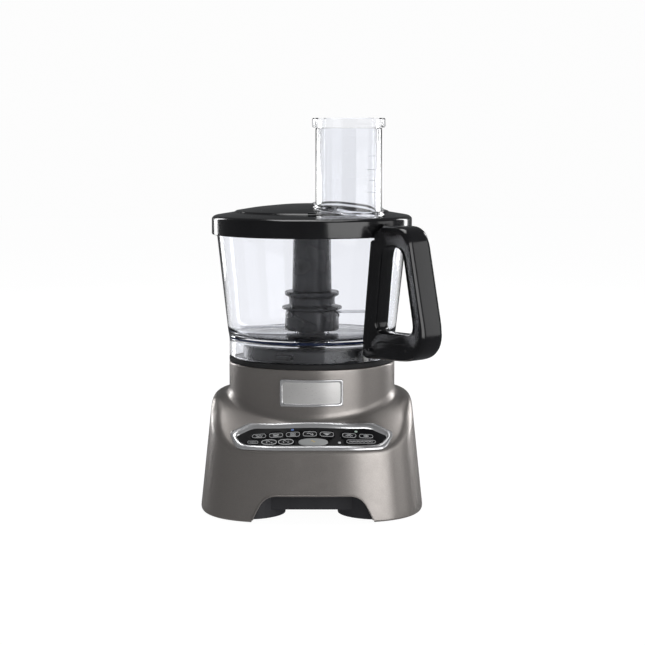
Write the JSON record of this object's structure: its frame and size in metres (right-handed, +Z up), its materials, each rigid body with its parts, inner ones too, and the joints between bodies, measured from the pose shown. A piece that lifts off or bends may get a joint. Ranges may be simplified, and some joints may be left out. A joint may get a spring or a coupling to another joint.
{
  "type": "food processor",
  "caption": "Food processor: grey motor base with a sloping keypad, clear bowl with a loop handle, black lid, clear feed tube with pusher, twin-blade knife and planetary drive.",
  "frame": {"origin": "centre of the overall footprint, on the surface that the feet stand on", "axes": "+Z up, the keypad faces -Y, the handle points towards +X and -Y"},
  "size_m": [0.2502, 0.2582, 0.41],
  "materials": {
    "grey_paint": "satin metallic",
    "dark_plastic": "matt",
    "black_plastic": "fine satin",
    "black_gloss": "gloss",
    "clear_plastic": "clear",
    "bright_trim": "polished",
    "silver_key": "satin silver",
    "rubber": "matt",
    "steel": "ground",
    "aluminium": "cast",
    "bronze": "plain",
    "copper": "wound",
    "carbon": "matt",
    "nylon": "satin",
    "circuit": "matt"
  },
  "bodies": {
    "base": {"badge_plate": "bright_trim", "base_housing": "grey_paint", "base_pan": "dark_plastic", "carbon_brush_1": "carbon", "carbon_brush_2": "carbon", "collar_ring": "rubber", "control_board": "circuit", "cord_gland": "rubber", "drive_deck": "black_plastic", "foot_1": "rubber", "foot_2": "rubber", "foot_3": "rubber", "foot_4": "rubber", "gearbox_cover": "dark_plastic", "gearbox_housing": "dark_plastic", "interlock_switch": "dark_plastic", "lower_bearing": "bronze", "lower_motor_bracket": "aluminium", "motor_stator": "steel", "output_bushing": "bronze", "panel_face": "black_gloss", "panel_frame": "bright_trim", "upper_bearing": "bronze", "upper_motor_bracket": "aluminium"},
    "rotor": {"armature": "copper", "motor_shaft": "steel", "commutator": "copper", "cooling_fan": "nylon", "sun_gear": "steel"},
    "carrier": {"planet_carrier": "steel", "drive_shaft": "steel"},
    "planet_1": {"planet_gear_1": "nylon"},
    "planet_2": {"planet_gear_2": "nylon"},
    "planet_3": {"planet_gear_3": "nylon"},
    "bowl_seat": {"shaft_seal": "rubber"},
    "bowl_group": {"bowl": "clear_plastic", "bowl_handle": "black_gloss"},
    "rod": {"interlock_rod": "nylon"},
    "knife": {"blade_hub": "black_plastic", "blade_column": "black_plastic", "upper_blade": "steel", "lower_blade": "steel"},
    "lid_seat": {"lid_seal": "rubber"},
    "lid_group": {"lid": "black_gloss", "feed_tube": "clear_plastic", "lid_bush": "nylon"},
    "pusher_cup": {"pusher": "clear_plastic"},
    "plunger": {"interlock_plunger": "nylon"},
    "programme_key_1_cap": {"programme_key_1": "black_gloss"},
    "programme_key_2_cap": {"programme_key_2": "black_gloss"},
    "programme_key_3_cap": {"programme_key_3": "black_gloss"},
    "programme_key_4_cap": {"programme_key_4": "black_gloss"},
    "programme_key_5_cap": {"programme_key_5": "black_gloss"},
    "programme_key_6_cap": {"programme_key_6": "black_gloss"},
    "programme_key_7_cap": {"programme_key_7": "black_gloss"},
    "stop_key_cap": {"stop_key": "black_gloss"},
    "slow_key_cap": {"slow_key": "black_gloss"},
    "fast_key_cap": {"fast_key": "black_gloss"},
    "start_key_cap": {"start_key": "silver_key"},
    "pulse_key_cap": {"pulse_key": "black_gloss"}
  },
  "joints": [
    {"name": "motor_spin", "type": "hinge", "parent": "base", "child": "rotor", "pos_m": [-0.00773, 0.00764, 0.1], "axis": [0, 0, 1], "continuous": true},
    {"name": "carrier_spin", "type": "hinge", "parent": "base", "child": "carrier", "pos_m": [-0.00773, 0.00764, 0.12], "axis": [0, 0, 1], "continuous": true},
    {"name": "planet_1_spin", "type": "hinge", "parent": "carrier", "child": "planet_1", "pos_m": [-0.00773, 0.02639, 0.11], "axis": [0, 0, 1], "continuous": true},
    {"name": "planet_2_spin", "type": "hinge", "parent": "carrier", "child": "planet_2", "pos_m": [-0.02397, -0.00173, 0.11], "axis": [0, 0, 1], "continuous": true},
    {"name": "planet_3_spin", "type": "hinge", "parent": "carrier", "child": "planet_3", "pos_m": [0.00851, -0.00173, 0.11], "axis": [0, 0, 1], "continuous": true},
    {"name": "bowl_lift", "type": "slide", "parent": "base", "child": "bowl_seat", "axis": [0, 0, 1], "range_m": [0, 0.12]},
    {"name": "bowl_twist", "type": "hinge", "parent": "bowl_seat", "child": "bowl_group", "pos_m": [-0.00773, 0.00764, 0.17], "axis": [0, 0, 1], "range_deg": [0, 30]},
    {"name": "blade_spin", "type": "hinge", "parent": "bowl_seat", "child": "knife", "pos_m": [-0.00773, 0.00764, 0.2], "axis": [0, 0, 1], "continuous": true},
    {"name": "lid_lift", "type": "slide", "parent": "bowl_group", "child": "lid_seat", "axis": [0, 0, 1], "range_m": [0, 0.1]},
    {"name": "lid_twist", "type": "hinge", "parent": "lid_seat", "child": "lid_group", "pos_m": [-0.00773, 0.00764, 0.295], "axis": [0, 0, 1], "range_deg": [0, 30]},
    {"name": "pusher_slide", "type": "slide", "parent": "lid_group", "child": "pusher_cup", "axis": [0, 0, 1], "range_m": [0, 0.1]},
    {"name": "rod_slide", "type": "slide", "parent": "bowl_group", "child": "rod", "axis": [0.0776, -0.0803, 0.9937], "range_m": [0, 0.0042]},
    {"name": "plunger_slide", "type": "slide", "parent": "base", "child": "plunger", "axis": [0, 0, 1], "range_m": [0, 0.0042]},
    {"name": "programme_key_1_press", "type": "slide", "parent": "base", "child": "programme_key_1_cap", "axis": [0.2022, 0.6182, -0.7596], "range_m": [0, 0.0008], "stiffness_N_per_m": 400, "springref_m": -0.0008},
    {"name": "programme_key_2_press", "type": "slide", "parent": "base", "child": "programme_key_2_cap", "axis": [0.1109, 0.6668, -0.737], "range_m": [0, 0.0008], "stiffness_N_per_m": 400, "springref_m": -0.0008},
    {"name": "programme_key_3_press", "type": "slide", "parent": "base", "child": "programme_key_3_cap", "axis": [0.0493, 0.7008, -0.7116], "range_m": [0, 0.0008], "stiffness_N_per_m": 400, "springref_m": -0.0008},
    {"name": "programme_key_4_press", "type": "slide", "parent": "base", "child": "programme_key_4_cap", "axis": [0.0034, 0.7164, -0.6977], "range_m": [0, 0.0008], "stiffness_N_per_m": 400, "springref_m": -0.0008},
    {"name": "programme_key_5_press", "type": "slide", "parent": "base", "child": "programme_key_5_cap", "axis": [-0.0405, 0.7052, -0.7079], "range_m": [0, 0.0008], "stiffness_N_per_m": 400, "springref_m": -0.0008},
    {"name": "programme_key_6_press", "type": "slide", "parent": "base", "child": "programme_key_6_cap", "axis": [-0.1214, 0.661, -0.7405], "range_m": [0, 0.0008], "stiffness_N_per_m": 400, "springref_m": -0.0008},
    {"name": "programme_key_7_press", "type": "slide", "parent": "base", "child": "programme_key_7_cap", "axis": [-0.2182, 0.6098, -0.762], "range_m": [0, 0.0008], "stiffness_N_per_m": 400, "springref_m": -0.0008},
    {"name": "stop_key_press", "type": "slide", "parent": "base", "child": "stop_key_cap", "axis": [0.2204, 0.6085, -0.7623], "range_m": [0, 0.0008], "stiffness_N_per_m": 400, "springref_m": -0.0008},
    {"name": "slow_key_press", "type": "slide", "parent": "base", "child": "slow_key_cap", "axis": [0.1199, 0.6592, -0.7424], "range_m": [0, 0.0008], "stiffness_N_per_m": 400, "springref_m": -0.0008},
    {"name": "fast_key_press", "type": "slide", "parent": "base", "child": "fast_key_cap", "axis": [0.0525, 0.6938, -0.7183], "range_m": [0, 0.0008], "stiffness_N_per_m": 400, "springref_m": -0.0008},
    {"name": "start_key_press", "type": "slide", "parent": "base", "child": "start_key_cap", "axis": [-0.0022, 0.7164, -0.6977], "range_m": [0, 0.0008], "stiffness_N_per_m": 400, "springref_m": -0.0008},
    {"name": "pulse_key_press", "type": "slide", "parent": "base", "child": "pulse_key_cap", "axis": [-0.1627, 0.6379, -0.7527], "range_m": [0, 0.0008], "stiffness_N_per_m": 400, "springref_m": -0.0008}
  ],
  "couplings": [
    {"joint": "carrier_spin", "follows": "motor_spin", "ratio": 0.2},
    {"joint": "planet_1_spin", "follows": "motor_spin", "ratio": -0.53333},
    {"joint": "planet_2_spin", "follows": "motor_spin", "ratio": -0.53333},
    {"joint": "planet_3_spin", "follows": "motor_spin", "ratio": -0.53333},
    {"joint": "blade_spin", "follows": "motor_spin", "ratio": 0.2},
    {"joint": "rod_slide", "follows": "lid_twist", "m_per_rad": 0.00764},
    {"joint": "plunger_slide", "follows": "lid_twist", "m_per_rad": 0.00764}
  ]
}
